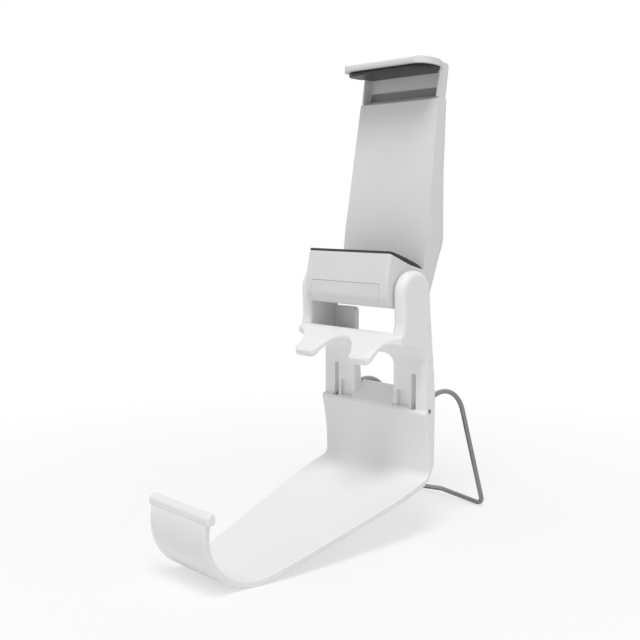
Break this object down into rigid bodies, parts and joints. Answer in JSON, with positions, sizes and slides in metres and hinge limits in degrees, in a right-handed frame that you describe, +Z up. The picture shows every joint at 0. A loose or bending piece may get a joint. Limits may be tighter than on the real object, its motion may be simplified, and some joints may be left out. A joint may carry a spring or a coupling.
{
  "type": "controller phone clip",
  "caption": "Clip that hooks over a games controller and holds a phone above it in a sprung, tilting clamp, with a folding wire stand at the back",
  "frame": {"origin": "middle of the object's footprint, on the surface it stands on", "axes": "+X to the right, +Y from the hook towards the wire stand, +Z up"},
  "size_m": [0.047, 0.1241, 0.1562],
  "materials": {
    "white_plastic": "satin white moulding",
    "black_rubber": "soft matt rubber",
    "wire_steel": "drawn grey wire",
    "pin_steel": "ground pin",
    "screw_steel": "plated screw",
    "spring_steel": "spring steel",
    "washer_plastic": "natural nylon"
  },
  "bodies": {
    "bracket": {"bracket": "white_plastic", "axle": "pin_steel", "thrust_washer_left": "washer_plastic", "thrust_washer_right": "washer_plastic"},
    "stand": {"stand_wire": "wire_steel"},
    "clamp": {"front_shell": "white_plastic", "rear_cover": "white_plastic", "lower_pad": "black_rubber", "shell_screws": "screw_steel", "shell_spring_pin": "pin_steel", "wave_washer_left": "spring_steel", "wave_washer_right": "spring_steel", "friction_sleeve": "black_rubber", "spring_left": "spring_steel", "spring_right": "spring_steel"},
    "jaw": {"upper_jaw": "white_plastic", "upper_pad": "black_rubber", "jaw_spring_pin": "pin_steel"}
  },
  "joints": [
    {"name": "clamp_tilt", "type": "hinge", "parent": "bracket", "child": "clamp", "pos_m": [0, 0.01607, 0.0813], "axis": [1, 0, 0], "range_deg": [0, 95]},
    {"name": "jaw_slide", "type": "slide", "parent": "clamp", "child": "jaw", "axis": [0, 0.1426, 0.9898], "range_m": [0, 0.027], "stiffness_N_per_m": 250, "springref_m": -0.012, "deforming": ["spring_left", "spring_right"]},
    {"name": "stand_fold", "type": "hinge", "parent": "bracket", "child": "stand", "pos_m": [0, 0.02307, 0.0419], "axis": [-1, 0, 0], "range_deg": [0, 86]}
  ]
}
